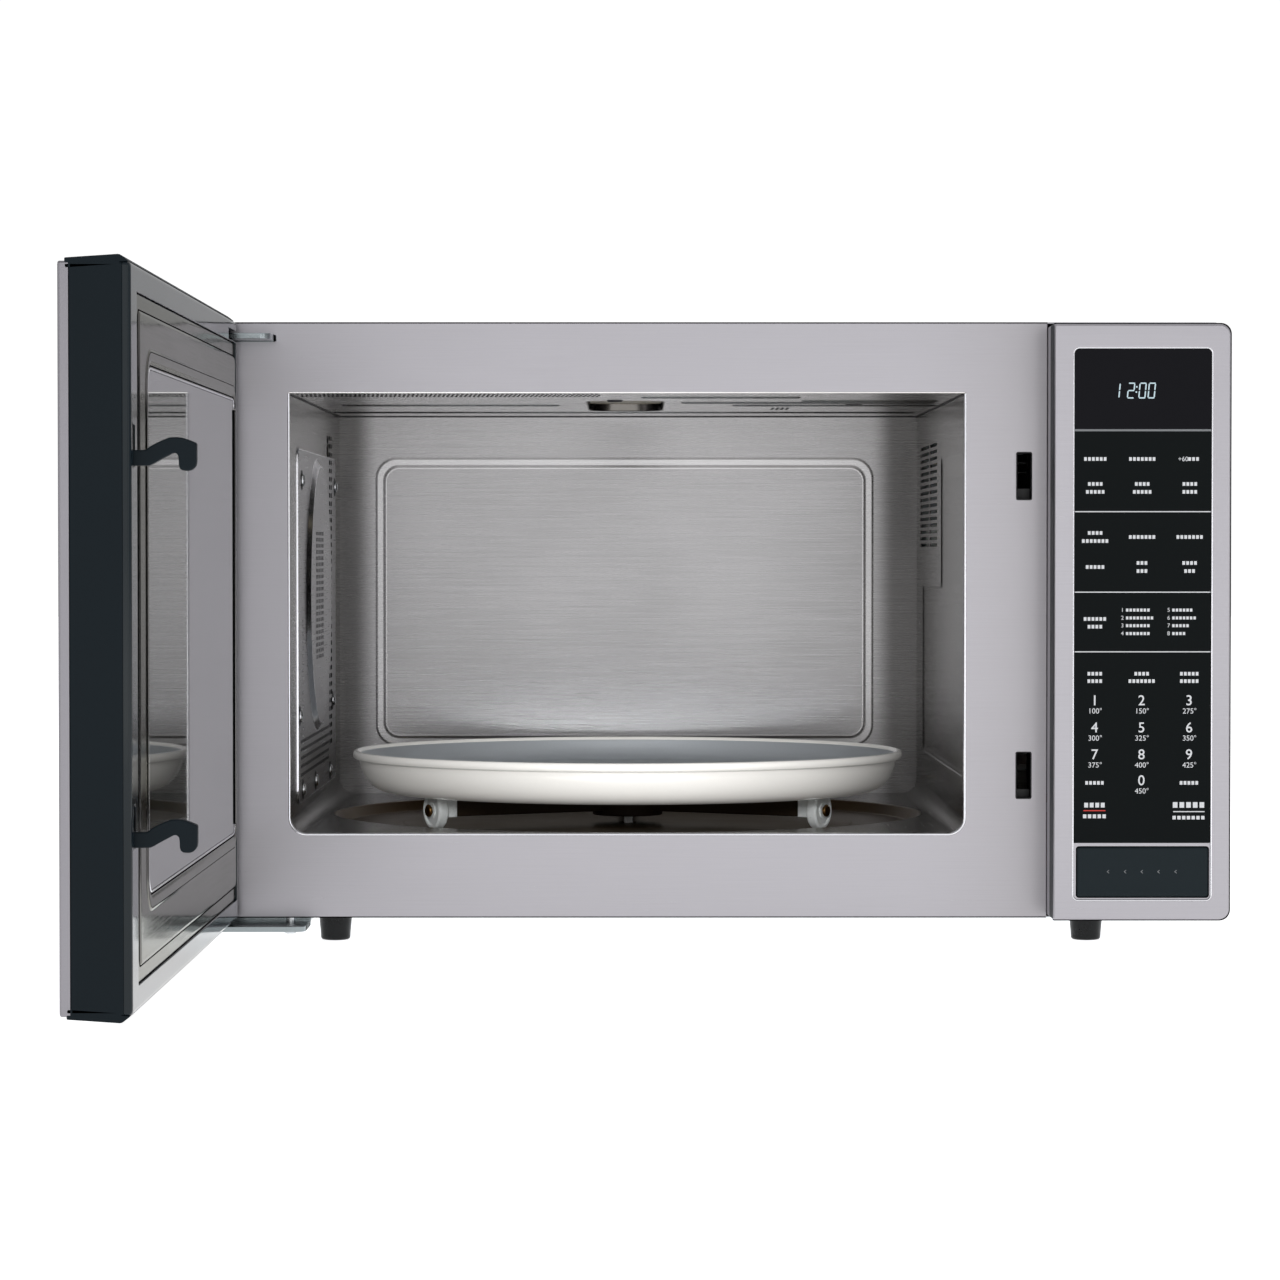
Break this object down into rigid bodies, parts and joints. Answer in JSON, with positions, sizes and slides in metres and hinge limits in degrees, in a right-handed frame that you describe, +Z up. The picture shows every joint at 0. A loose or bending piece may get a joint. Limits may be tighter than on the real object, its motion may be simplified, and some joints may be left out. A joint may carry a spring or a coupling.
{
  "type": "microwave oven",
  "caption": "Counter-top convection microwave oven with a side-hung push-button door, standing open, a membrane control panel and a round tray on a roller support.",
  "frame": {"origin": "on the floor plane under the middle of the body (the open door stands in front of it)", "axes": "+X to the user's right along the front, +Y from the front plate to the rear panel, +Z up"},
  "size_m": [0.6305, 0.9647, 0.3809],
  "materials": {
    "brushed_front": "fine horizontal brushing, satin",
    "case_steel": "brushed wrap-round cover",
    "cavity_steel": "brushed stainless, slightly duller",
    "galvanised": "zinc-coated sheet, dull spangle",
    "zinc_plate": "bright zinc plating",
    "screw_steel": "screw heads",
    "core_steel": "varnished laminations",
    "copper": "enamelled copper winding",
    "motor_steel": "plain metal",
    "heater_sheath": "heat-darkened steel sheath",
    "mica": "mica sheet",
    "pcb": "circuit board with parts",
    "lamp": "lamp and holder",
    "white_plastic": "moulded white plastic",
    "black_plastic": "moulded black plastic, fine texture",
    "door_plastic": "moulded blue-black plastic, satin",
    "button_plastic": "moulded dark grey plastic",
    "plunger_red": "small red plungers",
    "keypad": "black printed film with a fine texture",
    "display_glass": "black glossy window",
    "door_glass": "dark glass",
    "inner_glass": "clear glass over the screen",
    "screen": "fine perforated screen",
    "spring_steel": "spring wire",
    "feet": "glossy black",
    "tray": "white glaze, satin grey inside",
    "support_plastic": "translucent white plastic",
    "pins": "dull brass pins"
  },
  "bodies": {
    "root": {"outer_case": "case_steel", "base_plate": "galvanised", "rear_panel": "galvanised", "front_plate": "brushed_front", "cavity_liner": "cavity_steel", "cavity_floor": "cavity_steel", "cavity_ceiling": "cavity_steel", "cavity_back": "cavity_steel", "convection_cover": "cavity_steel", "cover_screws": "screw_steel", "convection_housing": "galvanised", "convection_heater": "heater_sheath", "convection_motor": "motor_steel", "waveguide": "galvanised", "waveguide_cover": "mica", "magnetron": "motor_steel", "hv_transformer": "core_steel", "transformer_coils": "copper", "hv_capacitor": "motor_steel", "hv_diode": "black_plastic", "noise_filter": "pcb", "oven_lamp": "lamp", "turntable_motor": "motor_steel", "cooling_fan_motor": "motor_steel", "fan_shroud": "galvanised", "latch_board": "white_plastic", "interlock_switches": "black_plastic", "panel_frame": "brushed_front", "panel_housing": "black_plastic", "keypad_membrane": "keypad", "display_window": "display_glass", "display_module": "display_glass", "control_pcb": "pcb", "upper_hinge": "zinc_plate", "lower_hinge": "zinc_plate", "feet": "feet", "cord_gland": "black_plastic", "case_screws": "screw_steel"},
    "door": {"door_front_frame": "brushed_front", "door_glass": "door_glass", "door_frame": "door_plastic", "door_inner_panel": "cavity_steel", "inner_glass": "inner_glass", "door_screen": "screen", "choke_cover": "door_plastic", "hinge_bushes": "white_plastic", "latch_spring": "spring_steel"},
    "latch": {"latch_head": "door_plastic"},
    "button": {"open_button": "button_plastic"},
    "lever": {"open_lever": "white_plastic"},
    "plungers": {"switch_plungers": "plunger_red"},
    "tray": {"tray": "tray"},
    "support": {"roller_support": "support_plastic", "roller_pins": "pins", "turntable_shaft": "white_plastic"},
    "roller_1": {"roller_1": "support_plastic"},
    "roller_2": {"roller_2": "support_plastic"},
    "roller_3": {"roller_3": "support_plastic"},
    "convection_fan": {"convection_fan": "motor_steel"},
    "cooling_fan": {"cooling_fan": "black_plastic"}
  },
  "joints": [
    {"name": "door_hinge", "type": "hinge", "parent": "root", "child": "door", "pos_m": [-0.29775, -0.23615, 0.19], "axis": [0, 0, 1], "range_deg": [-5, 90]},
    {"name": "latch_slide", "type": "slide", "parent": "door", "child": "latch", "axis": [0, 0, 1], "range_m": [0, 0.0045], "stiffness_N_per_m": 250, "springref_m": -0.006, "deforming": ["latch_spring"]},
    {"name": "button_slide", "type": "slide", "parent": "root", "child": "button", "axis": [0, 1, 0], "range_m": [0, 0.0055], "stiffness_N_per_m": 500, "springref_m": -0.001},
    {"name": "lever_hinge", "type": "hinge", "parent": "root", "child": "lever", "pos_m": [0.19, -0.214, 0.084], "axis": [1, 0, 0], "range_deg": [0, 12.8]},
    {"name": "plunger_slide", "type": "slide", "parent": "root", "child": "plungers", "axis": [-1, 0, 0], "range_m": [0, 0.0012], "stiffness_N_per_m": 150, "springref_m": -0.0005},
    {"name": "tray_spin", "type": "hinge", "parent": "root", "child": "tray", "pos_m": [-0.0481, -0.009, 0.0956], "axis": [0, 0, 1], "continuous": true},
    {"name": "support_spin", "type": "hinge", "parent": "root", "child": "support", "pos_m": [-0.0481, -0.009, 0.075], "axis": [0, 0, 1], "continuous": true},
    {"name": "roller_1_spin", "type": "hinge", "parent": "support", "child": "roller_1", "pos_m": [-0.17099, -0.07995, 0.0733], "axis": [-0.866, -0.5, 0], "continuous": true},
    {"name": "roller_2_spin", "type": "hinge", "parent": "support", "child": "roller_2", "pos_m": [0.07479, -0.07995, 0.0733], "axis": [0.866, -0.5, 0], "continuous": true},
    {"name": "roller_3_spin", "type": "hinge", "parent": "support", "child": "roller_3", "pos_m": [-0.0481, 0.1329, 0.0733], "axis": [0, 1, 0], "continuous": true},
    {"name": "convection_fan_spin", "type": "hinge", "parent": "root", "child": "convection_fan", "pos_m": [-0.27, -0.015, 0.211], "axis": [1, 0, 0], "continuous": true},
    {"name": "cooling_fan_spin", "type": "hinge", "parent": "root", "child": "cooling_fan", "pos_m": [0.236, 0.167, 0.192], "axis": [0, 1, 0], "continuous": true}
  ],
  "couplings": [
    {"joint": "lever_hinge", "follows": "button_slide", "rad_per_m": 40},
    {"joint": "support_spin", "follows": "tray_spin", "ratio": 0.5},
    {"joint": "roller_1_spin", "follows": "tray_spin", "ratio": -5.9125},
    {"joint": "roller_2_spin", "follows": "tray_spin", "ratio": -5.9125},
    {"joint": "roller_3_spin", "follows": "tray_spin", "ratio": -5.9125}
  ]
}
